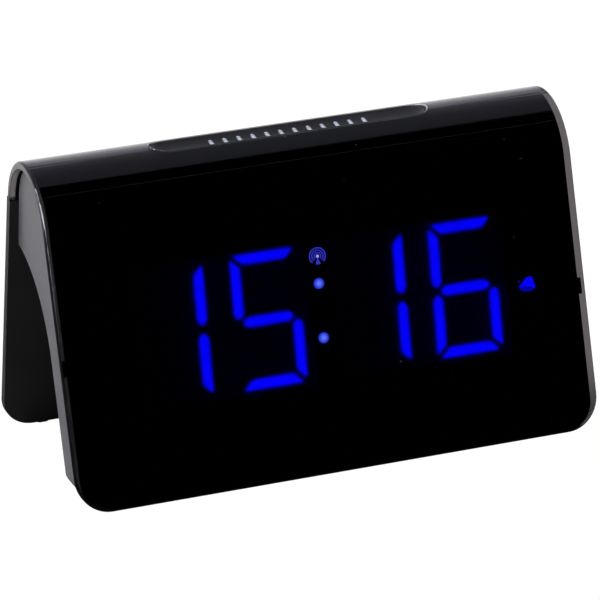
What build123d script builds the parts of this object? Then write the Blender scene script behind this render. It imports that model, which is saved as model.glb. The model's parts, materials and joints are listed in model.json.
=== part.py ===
import os
from math import atan2, cos, degrees, hypot, radians, sin, sqrt, tan

from build123d import *

os.makedirs("parts", exist_ok=True)

# Overall shape, in millimetres and degrees
width = 150.0
face_lean = 12.9
leg_lean = 17.4
bend_radius = 18.2
face_length = 76.7
foot_height = 0.5

# Smoked cover and the light mask behind it
cover_thickness = 2.0
cover_tail = 1.4
cover_corner = 9.3
cover_round = 0.8
mask_thickness = 0.5
bond_gap = 0.1
window_margin = 0.3
mask_inset = 0.8
window_round = 2.0

# Housing
wall = 2.0
side_recess = 1.6
side_draft = 1.8
side_wall = 1.6
back_depth = 17.4
cove_radius = 32.0
cove_drop = 36.5
clip_height = 4.4
clip_width = 1.2
clip_depth = 1.0
clip_down = 36.5
fit_gap = 0.2

# Rear leg and feet
leg_thickness = 3.4
leg_corner = 8.8
leg_round = 0.8
leg_gap = 0.1
leg_foot_in = 11.8
leg_foot_length = 3.2
leg_foot_width = 2.4
stud_radius = 0.8
stud_length = 2.5
front_foot_in = 20.0
front_foot_length = 14.0
front_foot_width = 6.0
pad_depth = 0.8

# Snooze bar
slot_length = 79.2
slot_width = 9.9
slot_round = 0.5
bar_gap = 0.3
bar_sink = 0.15
bar_dish = 1.5
bar_edge = 0.4
bar_lip = 0.9
bar_lip_thickness = 1.1
bar_travel = 0.8
bar_crown = 1.2
bar_wall = 1.4
bar_post_radius = 2.5
bar_ridge_length = 4.4
bar_ridge_width = 1.1
bar_ridge_height = 0.25
bar_ridge_pitch = 4.0
bar_ridge_count = 12

# Push switches and boards
switch_size = 6.0
switch_height = 3.5
button_radius = 1.75
button_height = 0.6
press_spare = 0.15
board_thickness = 1.6

# Setting keys and alarm switch on the rear strip
key_names = ("time_key", "alarm_key", "minus_key", "plus_key", "radio_key")
key_pitch = 11.0
knob_in = 5.4
key_knob_pitch = 12.0
key_down = 7.5
key_length = 7.0
key_height = 5.0
key_round = 1.0
key_gap = 0.3
key_lip = 0.9
key_lip_thickness = 1.2
key_proud = 0.8
key_travel = 0.5
low_switch_height = 2.4
key_board_margin = 3.5
key_board_gap = 1.6
key_board_top = 1.0
key_board_bottom = 12.0
knob_length = 3.6
knob_height = 3.0
knob_travel = 3.0
knob_proud = 0.6
knob_lip = 1.2
slide_case_length = 9.0
slide_case_height = 5.0

# Display
display_depth = 5.6
display_down = 8.9
digit_height = 37.2
digit_stroke = 3.3
digit_space = 7.1
colon_space = 10.5
digit_slant = 1.7
segment_gap = 0.5
dot_radius = 1.5
dot_spread = 14.8
segment_depth = 1.5
frame_thickness = 5.0
frame_in_left = 14.6
frame_in_right = 6.1
frame_side = 4.3
frame_margin = 4.85
frame_lip = 1.2
sign_depth = 0.8
signal_down = 4.2
signal_size = 4.8
bell_in = 4.65
bell_up = -2.0
bell_size = 5.0
chip_length = 2.8
chip_width = 1.4
chip_height = 0.8

# Main board
board_in = 6.6
board_foot_gap = 1.6
board_top = 4.0
board_screw_in = 2.8
boss_radius = 2.4
control_size = 12.0
control_height = 1.4
receiver_length = 16.0
receiver_width = 9.0
receiver_height = 1.4

# Screws
screw_radius = 0.95
screw_head = 2.1
screw_head_height = 1.2
screw_length = 6.0
screw_slack = 0.05
hole_slack = 0.35
case_screw_in = 3.2
case_screw_low = 13.0
case_screw_drop = 3.2
leg_screw_down = 8.0
leg_screw_in = 4.6
snooze_screw_x = 11.0
key_screw_down = 2.2
key_screw_inset = 9.0
small_boss = 1.75

# Backup cell, its bay and the round door
cell_radius = 10.0
cell_thickness = 3.2
cell_gap = 0.5
bay_wall = 1.2
bay_in = 9.6
bay_leg_gap = 2.1
spring_room = 0.8
plate_radius = 5.0
plate_thickness = 0.5
strip_width = 8.0
strip_gap = 0.1
door_gap = 0.3
door_slot_length = 12.0
door_slot_width = 1.6
door_slot_depth = 0.8

# Power inlet
inlet_in = 10.1
inlet_rise = 5.4
inlet_size = 8.6
inlet_front = 6.0
inlet_nose = 4.0
inlet_bore = 2.9
inlet_pin = 1.0
inlet_pin_short = 1.2
inlet_bore_depth = 9.0

# Sounder and radio antenna
sounder_in = 36.6
sounder_rise = 4.9
sounder_radius = 10.0
sounder_thickness = 0.6
sound_slot_length = 11.0
sound_slot_width = 1.2
sound_slot_pitch = 2.6
sound_slot_count = 5
rod_radius = 4.0
rod_in = 4.6
rod_board_gap = 3.85
rod_aim = 160.0
coil_radius = 5.0
coil_clip_gap = 4.0
coil_gap = 0.1
rod_clip_wall = 1.3
rod_clip_length = 4.0
rod_clip_inset = 6.0

# Places that follow from the sizes above
face_turn = radians(face_lean)
leg_turn = radians(leg_lean)
apex = face_lean + leg_lean
apex_turn = radians(apex)
mask_radius = bend_radius - cover_thickness - bond_gap
skin_radius = mask_radius - mask_thickness - bond_gap
room_radius = skin_radius - wall
leg_radius = skin_radius + leg_thickness
skin_front = bend_radius - skin_radius
room_front = skin_front + wall
half_housing = width / 2 - side_recess
axis_back = bend_radius * cos(face_turn) + face_length * sin(face_turn)
axis_z = face_length * cos(face_turn) - bend_radius * sin(face_turn)
leg_reach = (axis_z + leg_radius * sin(leg_turn) - foot_height) / cos(leg_turn)
deep = axis_back + leg_radius * cos(leg_turn) + leg_reach * sin(leg_turn)
front_y = -(deep + foot_height * tan(face_turn)) / 2
axis_y = front_y + axis_back
floor = Plane.XY.offset(foot_height)
side = Plane(origin=(0, front_y, 0), x_dir=(0, cos(face_turn), -sin(face_turn)), z_dir=(1, 0, 0))


def face_plane(deep_in):
    # Parallel to the clock face, facing the viewer, with its middle on the face's foot
    spot = (0, front_y + deep_in * cos(face_turn), -deep_in * sin(face_turn))
    return Plane(origin=spot, x_dir=(1, 0, 0), z_dir=(0, -cos(face_turn), sin(face_turn)))


def leg_plane(away):
    # Parallel to the leg, facing back, with local y running down the leg
    spot = (0, axis_y + away * cos(leg_turn), axis_z + away * sin(leg_turn))
    return Plane(origin=spot, x_dir=(1, 0, 0), z_dir=(0, cos(leg_turn), sin(leg_turn)))


def crest_plane(rise):
    return Plane(origin=(0, axis_y, axis_z + rise))


def on_leg(away, along):
    across = bend_radius + away * cos(apex_turn) + along * sin(apex_turn)
    return (across, face_length + away * sin(apex_turn) - along * cos(apex_turn))


# The cove under the bend meets the leg where its circle crosses the leg's plane
cove_start = face_length - cove_drop
cove_middle = (back_depth + cove_radius, cove_start)
leg_top = on_leg(skin_radius, 0)
cove_offset = (leg_top[0] - cove_middle[0], leg_top[1] - cove_middle[1])
cove_along = cove_offset[0] * sin(apex_turn) - cove_offset[1] * cos(apex_turn)
cove_rest = hypot(*cove_offset) ** 2 - cove_radius**2
cove_run = -cove_along - sqrt(cove_along**2 - cove_rest)
cove_end = on_leg(skin_radius, cove_run)
cove_angle = degrees(atan2(cove_end[1] - cove_middle[1], cove_end[0] - cove_middle[0]))
leg_deep_side = (cove_end[0] - skin_front) * tan(radians(side_draft))
half_room = half_housing - leg_deep_side - side_wall

# Rows and places across the room, each one from the wall or piece that it lines up with
leg_foot_x = width / 2 - leg_foot_in
front_foot_x = width / 2 - front_foot_in
inlet_x = inlet_in - half_room
inlet_up = cove_start / 2 + inlet_rise
sounder_x = half_room - sounder_in
sounder_up = cove_start / 2 + sounder_rise
frame_left = half_room - frame_in_left
frame_right = half_room - frame_in_right
frame_height = digit_height + 2 * frame_margin
frame_middle = (frame_right - frame_left) / 2
display_up = face_length - display_down - frame_height / 2
digit_width = (frame_left - frame_side - colon_space / 2 - digit_space) / 2
bell_x = frame_right - bell_in
signal_up = digit_height / 2 - signal_down
signal_x = signal_up * tan(radians(digit_slant))
key_board_right = half_room - leg_screw_in - boss_radius - fit_gap
knob_x = key_board_right - knob_in
key_first = knob_x - key_knob_pitch - key_pitch * (len(key_names) - 1)
key_board_left = key_first - key_board_margin
leg_screw_middle = key_board_left - key_board_gap - boss_radius


def standing(half, low, corner):
    # Upright block with rounded lower corners, used to trim what stands on the table
    with BuildPart() as block:
        with BuildSketch(Plane.XZ):
            with Locations((0, low)):
                Rectangle(2 * half, 2 * face_length, align=(Align.CENTER, Align.MIN))
            fillet(vertices().group_by(Axis.Y)[0], corner)
        extrude(amount=deep, both=True)
    return block.part


def bent_sheet(outer, inner, half, corner):
    # Sheet that runs up the face, over the bend and a little way down the back
    with BuildPart() as sheet:
        with BuildSketch(side):
            with BuildLine():
                Line((bend_radius - outer, 0), (bend_radius - outer, face_length))
                CenterArc((bend_radius, face_length), outer, 180, apex - 180)
                Polyline(
                    on_leg(outer, 0), on_leg(outer, cover_tail), on_leg(inner, cover_tail), on_leg(inner, 0)
                )
                CenterArc((bend_radius, face_length), inner, apex, 180 - apex)
                Polyline(
                    (bend_radius - inner, face_length), (bend_radius - inner, 0), (bend_radius - outer, 0)
                )
            make_face()
        extrude(amount=half, both=True)
        add(standing(half, foot_height, corner), mode=Mode.INTERSECT)
    return sheet.part


def hollow(gap):
    # Room inside the housing, open to the back, drawn smaller by a gap for what is set into it
    edge = room_front + gap
    with BuildPart() as room:
        with BuildSketch(side):
            with BuildLine():
                Line((edge, 0), (edge, face_length))
                CenterArc((bend_radius, face_length), bend_radius - edge, 180, apex - 180)
                Polyline(
                    on_leg(bend_radius - edge, 0), on_leg(bend_radius - edge, leg_reach), (deep, 0), (edge, 0)
                )
            make_face()
        extrude(amount=half_room - gap, both=True)
        room_corner = cover_corner - side_recess - wall
        add(standing(half_room - gap, foot_height + wall + gap, room_corner), mode=Mode.INTERSECT)
    return room.part


def crest_slot(length, across):
    with BuildPart() as cutter:
        with BuildSketch(crest_plane(bend_radius + wall)):
            SlotOverall(length, across)
        extrude(amount=-(bend_radius + wall - room_radius + wall))
    return cutter.part


def window_cutter(inset):
    with BuildPart() as cutter:
        with BuildSketch(face_plane(0)):
            with Locations((frame_middle, display_up)):
                rim = 2 * (frame_lip + window_margin + inset)
                RectangleRounded(frame_left + frame_right - rim, frame_height - rim, window_round)
        extrude(amount=-(room_front + bond_gap))
    return cutter.part


key_places = [(key_first + key_pitch * order, key_down) for order in range(len(key_names))]
leg_screw_places = [
    (-half_room + leg_screw_in, leg_screw_down),
    (leg_screw_middle, leg_screw_down),
    (half_room - leg_screw_in, leg_screw_down),
]


def rear_cutter():
    # Openings for the setting keys and the alarm knob through the leg and the housing's rear wall
    with BuildPart() as cutter:
        with BuildSketch(leg_plane(leg_radius + wall)):
            with Locations(*key_places):
                RectangleRounded(key_length + 2 * key_gap, key_height + 2 * key_gap, key_round + key_gap)
            with Locations((knob_x, key_down)):
                RectangleRounded(knob_length + knob_travel + 2 * key_gap, knob_height + 2 * key_gap, key_gap)
        extrude(amount=-(leg_radius - room_radius + 2 * wall))
    return cutter.part


with BuildPart() as front_cover:
    add(bent_sheet(bend_radius, bend_radius - cover_thickness, width / 2, cover_corner))
    add(crest_slot(slot_length, slot_width), mode=Mode.SUBTRACT)
    rim = []
    slot_rim = []
    for edge in front_cover.edges():
        spot = side.to_local_coords(edge @ 0.5)
        turned = hypot(spot.X - bend_radius, spot.Y - face_length)
        back = (spot.X - bend_radius) * cos(apex_turn) + (spot.Y - face_length) * sin(apex_turn)
        on_face = abs(spot.X) < 0.01 and spot.Y < face_length - 1
        on_bend = abs(turned - bend_radius) < 0.01 and spot.Y > face_length
        on_tail = abs(back - bend_radius) < 0.01 and spot.Y < on_leg(bend_radius, 0)[1]
        if on_bend and abs((edge @ 0.5).X) < slot_length / 2 + 1:
            if abs((edge @ 0.5).Y - axis_y) < slot_width / 2 + 1:
                slot_rim.append(edge)
        elif on_face or (abs(spot.Z) > width / 2 - 0.01 and (on_bend or on_tail)):
            rim.append(edge)
    fillet(rim, cover_round)
    fillet(slot_rim, slot_round)
front_cover.part.label = "front_cover"
export_step(front_cover.part, "parts/front_cover.step")

with BuildPart() as light_mask:
    add(bent_sheet(mask_radius, mask_radius - mask_thickness, half_housing, cover_corner - side_recess))
    add(crest_slot(slot_length, slot_width), mode=Mode.SUBTRACT)
    add(window_cutter(mask_inset), mode=Mode.SUBTRACT)
light_mask.part.label = "light_mask"
export_step(light_mask.part, "parts/light_mask.step")

# Housing, with its bosses, cover clips and openings
case_screw_x = half_room - case_screw_in
case_screw_places = [
    (case_screw_x * hand, up) for hand in (-1, 1) for up in (case_screw_low, cove_start - case_screw_drop)
]
board_screw_places = [
    (x, display_up + hand * (frame_height / 2 - board_screw_in))
    for x in (board_screw_in - frame_left, frame_right - board_screw_in)
    for hand in (-1, 1)
]
lid_inner = back_depth - wall
board_front = display_depth + frame_thickness
board_back = board_front + board_thickness
key_lip_back = room_radius - fit_gap
key_foot = key_lip_back - key_lip_thickness
key_switch_top = key_foot - key_travel - press_spare
key_board_face = key_switch_top - button_height - low_switch_height
key_screw_places = [
    (key_board_left + key_screw_inset, key_screw_down),
    (key_board_right - key_screw_inset, key_screw_down),
]
lip_half = slot_width / 2 + bar_lip
bar_lip_top = sqrt(room_radius**2 - lip_half**2) - fit_gap
bar_foot = bar_lip_top - bar_lip_thickness
snooze_switch_top = bar_foot - bar_travel - press_spare
bar_rim = sqrt(bend_radius**2 - (slot_width / 2) ** 2) - bar_sink
dish_half = slot_width / 2 - bar_gap - bar_edge
dish_radius = (dish_half**2 + bar_dish**2) / (2 * bar_dish)
dish_middle = bar_rim - bar_dish + dish_radius
snooze_board_top = snooze_switch_top - button_height - switch_height
snooze_screw_y = lip_half + fit_gap + small_boss
snooze_screw_places = [(-snooze_screw_x, snooze_screw_y), (snooze_screw_x, -snooze_screw_y)]
post_top = sqrt(room_radius**2 - snooze_screw_y**2) + bond_gap
foot_line = front_y + (skin_front + back_depth) / 2 * cos(face_turn)

with BuildPart() as main_housing:
    with BuildSketch(side):
        with BuildLine():
            Line((skin_front, 0), (skin_front, face_length))
            CenterArc((bend_radius, face_length), skin_radius, 180, apex - 180)
            Line(leg_top, cove_end)
            CenterArc(cove_middle, cove_radius, 180, cove_angle - 180)
            Polyline((back_depth, cove_start), (back_depth, 0), (skin_front, 0))
        make_face()
    extrude(amount=half_housing, both=True)
    add(standing(half_housing, foot_height, cover_corner - side_recess), mode=Mode.INTERSECT)
    for hand in (-1, 1):
        slope = sin(radians(side_draft))
        lean = (hand * cos(radians(side_draft)), slope * cos(face_turn), -slope * sin(face_turn))
        start = (hand * half_housing, front_y + skin_front * cos(face_turn), -skin_front * sin(face_turn))
        split(bisect_by=Plane(origin=start, z_dir=lean), keep=Keep.BOTTOM)
    add(hollow(0), mode=Mode.SUBTRACT)
    add(crest_slot(slot_length, slot_width), mode=Mode.SUBTRACT)
    add(window_cutter(0), mode=Mode.SUBTRACT)
    add(rear_cutter(), mode=Mode.SUBTRACT)
    # Clips on both sides that the cover's ends hook on
    with BuildSketch(face_plane(skin_front)):
        with Locations((-half_housing, face_length - clip_down), (half_housing, face_length - clip_down)):
            Rectangle(2 * clip_width, clip_height)
    extrude(amount=-clip_depth)
    # Bosses for the back cover
    with BuildSketch(face_plane(lid_inner - fit_gap)):
        with Locations(*case_screw_places):
            Circle(boss_radius)
    extrude(amount=lid_inner - fit_gap - room_front + bond_gap)
    # Bosses behind the rear wall for the leg and the key board
    with BuildSketch(leg_plane(room_radius + bond_gap)):
        with Locations(*leg_screw_places):
            Circle(boss_radius)
    extrude(amount=-screw_length)
    with BuildSketch(leg_plane(room_radius + bond_gap)):
        with Locations(*key_screw_places):
            Circle(small_boss)
    extrude(amount=-(room_radius + bond_gap - key_board_face))
    # Posts under the bend for the snooze board
    with BuildSketch(crest_plane(snooze_board_top)):
        with Locations(*snooze_screw_places):
            Circle(small_boss)
    extrude(amount=post_top - snooze_board_top)
    # Screw holes
    hole = screw_radius + screw_slack
    with BuildSketch(face_plane(lid_inner)):
        with Locations(*case_screw_places):
            Circle(hole)
    extrude(amount=screw_length, mode=Mode.SUBTRACT)
    with BuildSketch(leg_plane(leg_radius)):
        with Locations(*leg_screw_places):
            Circle(hole)
    extrude(amount=-(leg_thickness + screw_length), mode=Mode.SUBTRACT)
    with BuildSketch(leg_plane(key_board_face)):
        with Locations(*key_screw_places):
            Circle(hole)
    extrude(amount=screw_length - board_thickness, mode=Mode.SUBTRACT)
    with BuildSketch(crest_plane(snooze_board_top)):
        with Locations(*snooze_screw_places):
            Circle(hole)
    extrude(amount=post_top - snooze_board_top - wall / 2, mode=Mode.SUBTRACT)
    # Pockets for the front feet
    with BuildSketch(floor):
        with Locations((-front_foot_x, foot_line), (front_foot_x, foot_line)):
            SlotOverall(front_foot_length + fit_gap, front_foot_width + fit_gap)
    extrude(amount=pad_depth, mode=Mode.SUBTRACT)
main_housing.part.label = "main_housing"
export_step(main_housing.part, "parts/main_housing.step")

with BuildPart() as rear_leg:
    with BuildSketch(leg_plane(skin_radius)):
        with Locations((0, cover_tail + leg_gap)):
            Rectangle(width, leg_reach + leg_thickness, align=(Align.CENTER, Align.MIN))
    extrude(amount=leg_thickness)
    add(standing(width / 2, foot_height, leg_corner), mode=Mode.INTERSECT)
    outer_face = rear_leg.faces().sort_by(Axis((0, axis_y, axis_z), (0, cos(leg_turn), sin(leg_turn))))[-1]
    fillet(outer_face.edges(), leg_round)
    add(rear_cutter(), mode=Mode.SUBTRACT)
    with BuildSketch(leg_plane(leg_radius)):
        with Locations(*leg_screw_places):
            Circle(screw_head + hole_slack)
    extrude(amount=-screw_head_height, mode=Mode.SUBTRACT)
    with BuildSketch(leg_plane(leg_radius)):
        with Locations(*leg_screw_places):
            Circle(screw_radius + hole_slack)
    extrude(amount=-leg_thickness, mode=Mode.SUBTRACT)
    leg_foot_y = axis_y + (skin_radius + leg_radius) / 2 * cos(leg_turn)
    leg_foot_y = leg_foot_y + (leg_reach - leg_thickness / 2 * tan(leg_turn)) * sin(leg_turn)
    leg_foot_places = [(-leg_foot_x, leg_foot_y), (leg_foot_x, leg_foot_y)]
    with BuildSketch(floor):
        with Locations(*leg_foot_places):
            Circle(stud_radius + screw_slack)
    extrude(amount=stud_length + fit_gap, mode=Mode.SUBTRACT)
rear_leg.part.label = "rear_leg"
export_step(rear_leg.part, "parts/rear_leg.step")

with BuildPart() as rear_feet:
    with BuildSketch(Plane.XY):
        with Locations(*leg_foot_places):
            RectangleRounded(leg_foot_length, leg_foot_width, leg_foot_width / 3)
    extrude(amount=foot_height)
    with BuildSketch(floor):
        with Locations(*leg_foot_places):
            Circle(stud_radius)
    extrude(amount=stud_length)
rear_feet.part.label = "rear_feet"
export_step(rear_feet.part, "parts/rear_feet.step")

with BuildPart() as front_feet:
    with BuildSketch(Plane.XY):
        with Locations((-front_foot_x, foot_line), (front_foot_x, foot_line)):
            SlotOverall(front_foot_length, front_foot_width)
    extrude(amount=foot_height + pad_depth)
front_feet.part.label = "front_feet"
export_step(front_feet.part, "parts/front_feet.step")


def dish_cutter(radius):
    # Long round-ended hollow above the snooze bar, for the finger
    reach = (slot_length - slot_width) / 2
    middle = axis_z + dish_middle
    with BuildPart() as cutter:
        with BuildSketch(Plane.YZ):
            with Locations((axis_y, middle)):
                Circle(radius)
        extrude(amount=reach, both=True)
        with Locations((-reach, axis_y, middle), (reach, axis_y, middle)):
            Sphere(radius)
    return cutter.part


def finger_ridges():
    # Plain ridges that follow the hollow's floor
    with BuildPart() as ridges:
        with BuildSketch(crest_plane(bar_rim - bar_dish - bar_crown / 2)):
            with GridLocations(bar_ridge_pitch, slot_width, bar_ridge_count, 1):
                SlotOverall(bar_ridge_length, bar_ridge_width, rotation=90)
        extrude(amount=bar_crown / 2 + bar_dish)
        add(dish_cutter(dish_radius - bar_ridge_height), mode=Mode.SUBTRACT)
    return ridges.part


# Snooze bar, dished for the finger and hollow underneath
with BuildPart() as snooze_bar:
    with BuildSketch(crest_plane(bar_foot)):
        SlotOverall(slot_length - 2 * bar_gap, slot_width - 2 * bar_gap)
    extrude(amount=bar_rim - bar_foot)
    add(dish_cutter(dish_radius), mode=Mode.SUBTRACT)
    with BuildSketch(crest_plane(bar_foot)):
        SlotOverall(slot_length + 2 * bar_lip, slot_width + 2 * bar_lip)
    extrude(amount=bar_lip_thickness)
    with BuildSketch(crest_plane(bar_foot)):
        SlotOverall(slot_length - 2 * bar_gap - 2 * bar_wall, slot_width - 2 * bar_gap - 2 * bar_wall)
    bar_hollow = bar_rim - bar_dish - bar_crown - bar_foot
    extrude(amount=bar_hollow, mode=Mode.SUBTRACT)
    with BuildSketch(crest_plane(bar_foot)):
        Circle(bar_post_radius)
    extrude(amount=bar_hollow + bar_crown / 2)
    add(finger_ridges())
snooze_bar.part.label = "snooze_bar"
export_step(snooze_bar.part, "parts/snooze_bar.step")

snooze_board_half = snooze_screw_x + small_boss + bar_wall
snooze_board_deep = snooze_screw_y + small_boss + bond_gap
with BuildPart() as snooze_board:
    with BuildSketch(crest_plane(snooze_board_top)):
        Rectangle(2 * snooze_board_half, 2 * snooze_board_deep)
        with Locations(*snooze_screw_places):
            Circle(screw_radius + hole_slack, mode=Mode.SUBTRACT)
    extrude(amount=-board_thickness)
snooze_board.part.label = "snooze_board"
export_step(snooze_board.part, "parts/snooze_board.step")

with BuildPart() as snooze_switch:
    with BuildSketch(crest_plane(snooze_board_top)):
        Rectangle(switch_size, switch_size)
    extrude(amount=switch_height)
    with BuildSketch(crest_plane(snooze_board_top + switch_height)):
        Circle(button_radius)
    extrude(amount=button_height)
snooze_switch.part.label = "snooze_switch"
export_step(snooze_switch.part, "parts/snooze_switch.step")

with BuildPart() as snooze_screws:
    with BuildSketch(crest_plane(snooze_board_top - board_thickness)):
        with Locations(*snooze_screw_places):
            Circle(screw_head)
    extrude(amount=-screw_head_height)
    with BuildSketch(crest_plane(snooze_board_top - board_thickness)):
        with Locations(*snooze_screw_places):
            Circle(screw_radius)
    extrude(amount=board_thickness + post_top - snooze_board_top - wall)
snooze_screws.part.label = "snooze_screws"
export_step(snooze_screws.part, "parts/snooze_screws.step")

# Setting keys, each one a cap with a lip that stops behind the rear wall
for key_name, key_place in zip(key_names, key_places):
    with BuildPart() as key:
        with BuildSketch(leg_plane(key_foot)):
            with Locations(key_place):
                Rectangle(key_length + 2 * key_lip, key_height + 2 * key_lip)
        extrude(amount=key_lip_thickness)
        with BuildSketch(leg_plane(key_foot)):
            with Locations(key_place):
                RectangleRounded(key_length, key_height, key_round)
        extrude(amount=leg_radius + key_proud - key_foot)
        outward = Axis((0, axis_y, axis_z), (0, cos(leg_turn), sin(leg_turn)))
        chamfer(key.edges().group_by(outward)[-1], key_gap)
    key.part.label = key_name
    export_step(key.part, f"parts/{key_name}.step")

with BuildPart() as key_board:
    with BuildSketch(leg_plane(key_board_face)):
        with Locations(((key_board_left + key_board_right) / 2, (key_board_top + key_board_bottom) / 2)):
            Rectangle(key_board_right - key_board_left, key_board_bottom - key_board_top)
        with Locations(*key_screw_places):
            Circle(screw_radius + hole_slack, mode=Mode.SUBTRACT)
    extrude(amount=-board_thickness)
key_board.part.label = "key_board"
export_step(key_board.part, "parts/key_board.step")

with BuildPart() as key_switches:
    with BuildSketch(leg_plane(key_board_face)):
        with Locations(*key_places):
            Rectangle(switch_size, switch_size)
    extrude(amount=low_switch_height)
    with BuildSketch(leg_plane(key_board_face + low_switch_height)):
        with Locations(*key_places):
            Circle(button_radius)
    extrude(amount=button_height)
key_switches.part.label = "key_switches"
export_step(key_switches.part, "parts/key_switches.step")

with BuildPart() as key_screws:
    with BuildSketch(leg_plane(key_board_face - board_thickness)):
        with Locations(*key_screw_places):
            Circle(screw_head)
    extrude(amount=-screw_head_height)
    with BuildSketch(leg_plane(key_board_face - board_thickness)):
        with Locations(*key_screw_places):
            Circle(screw_radius)
    extrude(amount=screw_length - fit_gap)
key_screws.part.label = "key_screws"
export_step(key_screws.part, "parts/key_screws.step")

# Alarm switch: case on the key board and a knob that slides along the slot
knob_rest = knob_x - knob_travel / 2
with BuildPart() as alarm_switch:
    with BuildSketch(leg_plane(key_board_face)):
        with Locations((knob_x, key_down)):
            Rectangle(slide_case_length, slide_case_height)
    extrude(amount=key_foot - fit_gap - key_board_face)
alarm_switch.part.label = "alarm_switch"
export_step(alarm_switch.part, "parts/alarm_switch.step")

with BuildPart() as alarm_knob:
    with BuildSketch(leg_plane(key_foot)):
        with Locations((knob_rest, key_down)):
            Rectangle(knob_length + 2 * knob_lip, knob_height + 2 * knob_lip)
    extrude(amount=key_lip_thickness)
    with BuildSketch(leg_plane(key_foot)):
        with Locations((knob_rest, key_down)):
            Rectangle(knob_length, knob_height)
    extrude(amount=leg_radius + knob_proud - key_foot)
    with BuildSketch(leg_plane(leg_radius + knob_proud)):
        with Locations((knob_rest, key_down)):
            with GridLocations(knob_length / 3, knob_height, 3, 1):
                Rectangle(knob_length / 8, knob_height)
    extrude(amount=-knob_proud / 2, mode=Mode.SUBTRACT)
alarm_knob.part.label = "alarm_knob"
export_step(alarm_knob.part, "parts/alarm_knob.step")


def slanted(points):
    return [(x + up * tan(radians(digit_slant)), up) for x, up in points]


half_w = digit_width / 2
half_h = digit_height / 2
half_s = digit_stroke / 2
top_bar = [
    (-half_w + segment_gap, half_h),
    (half_w - segment_gap, half_h),
    (half_w - digit_stroke - segment_gap, half_h - digit_stroke),
    (-half_w + digit_stroke + segment_gap, half_h - digit_stroke),
]
right_bar = [
    (half_w, half_h - segment_gap),
    (half_w, half_s + segment_gap),
    (half_w - half_s, segment_gap),
    (half_w - digit_stroke, half_s + segment_gap),
    (half_w - digit_stroke, half_h - digit_stroke - segment_gap),
]
middle_bar = [
    (-half_w + half_s + segment_gap, 0),
    (-half_w + digit_stroke + segment_gap, half_s),
    (half_w - digit_stroke - segment_gap, half_s),
    (half_w - half_s - segment_gap, 0),
    (half_w - digit_stroke - segment_gap, -half_s),
    (-half_w + digit_stroke + segment_gap, -half_s),
]
segments = {
    "a": top_bar,
    "b": right_bar,
    "c": [(x, -up) for x, up in right_bar],
    "d": [(x, -up) for x, up in top_bar],
    "e": [(-x, -up) for x, up in right_bar],
    "f": [(-x, up) for x, up in right_bar],
    "g": middle_bar,
}
shown = ("bc", "afgcd", "bc", "afgedc")
near_digit = (colon_space + digit_width) / 2
far_digit = near_digit + digit_width + digit_space
digit_places = [-far_digit, -near_digit, near_digit, far_digit]
dot_places = [(up * tan(radians(digit_slant)), display_up + up) for up in (-dot_spread / 2, dot_spread / 2)]


def segment_sketch(lit):
    # All segments of the four digits that are lit, or all that are dark, at the display's height
    with BuildSketch(Plane.XY) as pattern:
        for place, letters in zip(digit_places, shown):
            for letter, points in segments.items():
                if (letter in letters) == lit:
                    with Locations((place, display_up)):
                        Polygon(*slanted(points), align=None)
    return pattern.sketch


def signal_sketch():
    # A mast with waves on both sides
    mast = signal_size / 8
    with BuildSketch(Plane.XY) as pattern:
        with BuildLine():
            Polyline((0, mast), (mast * 1.5, -signal_size / 2), (-mast * 1.5, -signal_size / 2), close=True)
        make_face()
        for wave in (1, 2):
            near = mast * (2 * wave - 0.4)
            far = near + mast * 0.9
            for facing in (0, 180):
                with BuildLine():
                    CenterArc((0, mast), near, facing - 45, 90)
                    CenterArc((0, mast), far, facing - 45, 90)
                    for turn in (radians(facing - 45), radians(facing + 45)):
                        Line(
                            (near * cos(turn), mast + near * sin(turn)),
                            (far * cos(turn), mast + far * sin(turn)),
                        )
                make_face()
    return Pos(signal_x, display_up + signal_up) * pattern.sketch


def bell_sketch():
    half = bell_size / 2
    with BuildSketch(Plane.XY) as pattern:
        with BuildLine():
            Polyline(
                (-half * 0.55, half * 0.35),
                (-half * 0.55, -half * 0.1),
                (-half, -half * 0.5),
                (half, -half * 0.5),
                (half * 0.55, -half * 0.1),
                (half * 0.55, half * 0.35),
            )
            ThreePointArc((half * 0.55, half * 0.35), (0, half * 0.9), (-half * 0.55, half * 0.35))
        make_face()
        with Locations((0, -half * 0.8)):
            Rectangle(half * 0.6, half * 0.25)
    return Pos(bell_x, display_up + bell_up) * pattern.sketch


lit_pattern = segment_sketch(True)
dark_pattern = segment_sketch(False)
signal_pattern = signal_sketch()
bell_pattern = bell_sketch()

# Frame that holds the segments, with a well behind each one
with BuildPart() as display_frame:
    with BuildSketch(face_plane(room_front)):
        with Locations((frame_middle, display_up)):
            Rectangle(frame_left + frame_right, frame_height)
    extrude(amount=-(display_depth + frame_thickness - room_front))
    with BuildSketch(face_plane(room_front)):
        with Locations((frame_middle, display_up)):
            Rectangle(frame_left + frame_right - 2 * frame_lip, frame_height - 2 * frame_lip)
    extrude(amount=-(display_depth - room_front), mode=Mode.SUBTRACT)
    with BuildSketch(face_plane(display_depth)):
        add(lit_pattern)
        add(dark_pattern)
        with Locations(*dot_places):
            Circle(dot_radius)
    extrude(amount=-frame_thickness, mode=Mode.SUBTRACT)
    with BuildSketch(face_plane(display_depth)):
        add(signal_pattern)
        add(bell_pattern)
    extrude(amount=-sign_depth, mode=Mode.SUBTRACT)
    with BuildSketch(face_plane(display_depth + frame_thickness)):
        with Locations((signal_x, display_up + signal_up), (bell_x, display_up + bell_up)):
            Rectangle(chip_length + fit_gap, chip_width + fit_gap)
    extrude(amount=frame_thickness - 2 * sign_depth, mode=Mode.SUBTRACT)
    with BuildSketch(face_plane(board_front)):
        with Locations(*board_screw_places):
            Circle(screw_radius + screw_slack)
    extrude(amount=screw_length - board_thickness, mode=Mode.SUBTRACT)
display_frame.part.label = "display_frame"
export_step(display_frame.part, "parts/display_frame.step")

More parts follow.
